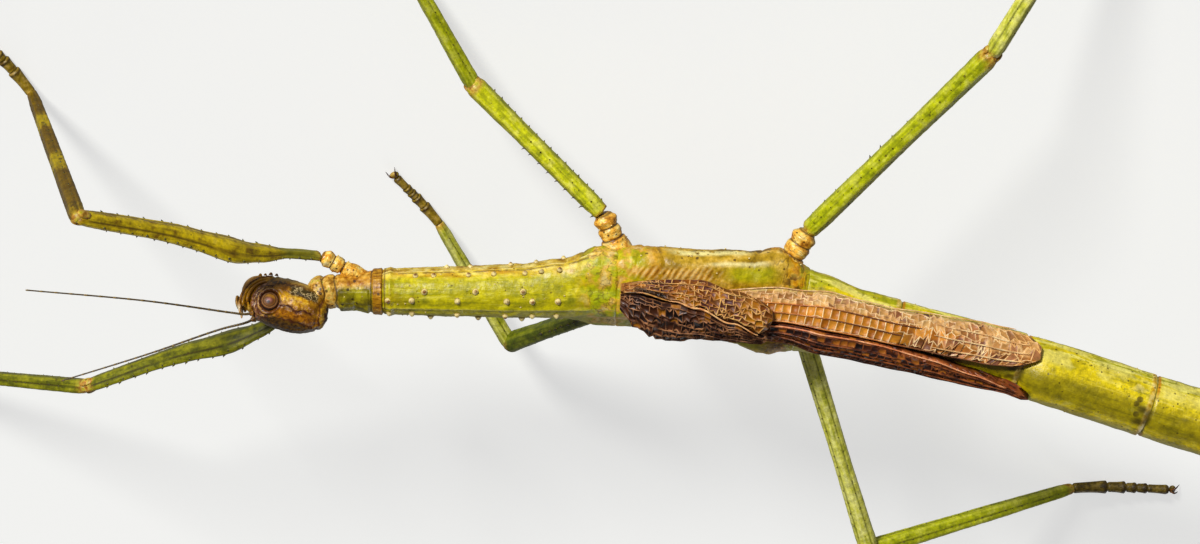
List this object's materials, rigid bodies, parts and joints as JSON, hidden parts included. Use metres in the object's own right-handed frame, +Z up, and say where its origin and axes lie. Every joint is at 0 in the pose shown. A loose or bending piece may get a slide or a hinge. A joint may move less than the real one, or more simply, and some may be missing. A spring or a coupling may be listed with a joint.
{
  "type": "stick insect model",
  "caption": "Life-size winged stick insect standing on its feet: slender body, folded wings, feelers, jointed-looking legs fixed in a walking pose.",
  "frame": {"origin": "on the floor, under the middle of the whole model", "axes": "+X towards the head, +Y the insect's left, +Z up"},
  "size_m": [0.1146, 0.0588, 0.0155],
  "materials": {
    "head_shell": "satin mottled brown and ochre chitin",
    "eye": "glossy ringed brown",
    "mouth_shell": "satin ochre-brown chitin",
    "feeler": "satin dark brown",
    "thorax_shell": "satin green chitin with brown tubercles and a tan band",
    "abdomen_shell": "satin yellow-olive chitin with green mottling",
    "wing": "leathery tan-orange with a pale net of veins",
    "shaded_wing": "leathery dark red-brown with a net of veins",
    "leg_base": "satin orange-brown chitin",
    "foot": "satin red-brown chitin",
    "brown_leg": "satin ochre-brown chitin with dark bands",
    "green_leg": "satin yellow-green chitin with small dark spines"
  },
  "bodies": {
    "root": {"abdomen_1": "abdomen_shell", "abdomen_10": "abdomen_shell", "abdomen_2": "abdomen_shell", "abdomen_3": "abdomen_shell", "abdomen_4": "abdomen_shell", "abdomen_5": "abdomen_shell", "abdomen_6": "abdomen_shell", "abdomen_7": "abdomen_shell", "abdomen_8": "abdomen_shell", "abdomen_9": "abdomen_shell", "antenna_L": "feeler", "antenna_R": "feeler", "cercus_L": "abdomen_shell", "cercus_R": "abdomen_shell", "coxa_fore_L": "leg_base", "coxa_fore_R": "leg_base", "coxa_hind_L": "leg_base", "coxa_hind_R": "leg_base", "coxa_mid_L": "leg_base", "coxa_mid_R": "leg_base", "eye_L": "eye", "eye_R": "eye", "femur_fore_L": "green_leg", "femur_fore_R": "brown_leg", "femur_hind_L": "green_leg", "femur_hind_R": "green_leg", "femur_mid_L": "green_leg", "femur_mid_R": "green_leg", "head": "head_shell", "hindwing_L": "shaded_wing", "hindwing_R": "wing", "mesothorax": "thorax_shell", "metathorax": "thorax_shell", "mouthparts": "mouth_shell", "prothorax": "thorax_shell", "tarsus_fore_L": "foot", "tarsus_fore_R": "foot", "tarsus_hind_L": "foot", "tarsus_hind_R": "foot", "tarsus_mid_L": "foot", "tarsus_mid_R": "foot", "tegmen_L": "wing", "tegmen_R": "wing", "tibia_fore_L": "green_leg", "tibia_fore_R": "brown_leg", "tibia_hind_L": "green_leg", "tibia_hind_R": "green_leg", "tibia_mid_L": "green_leg", "tibia_mid_R": "green_leg"}
  },
  "joints": []
}
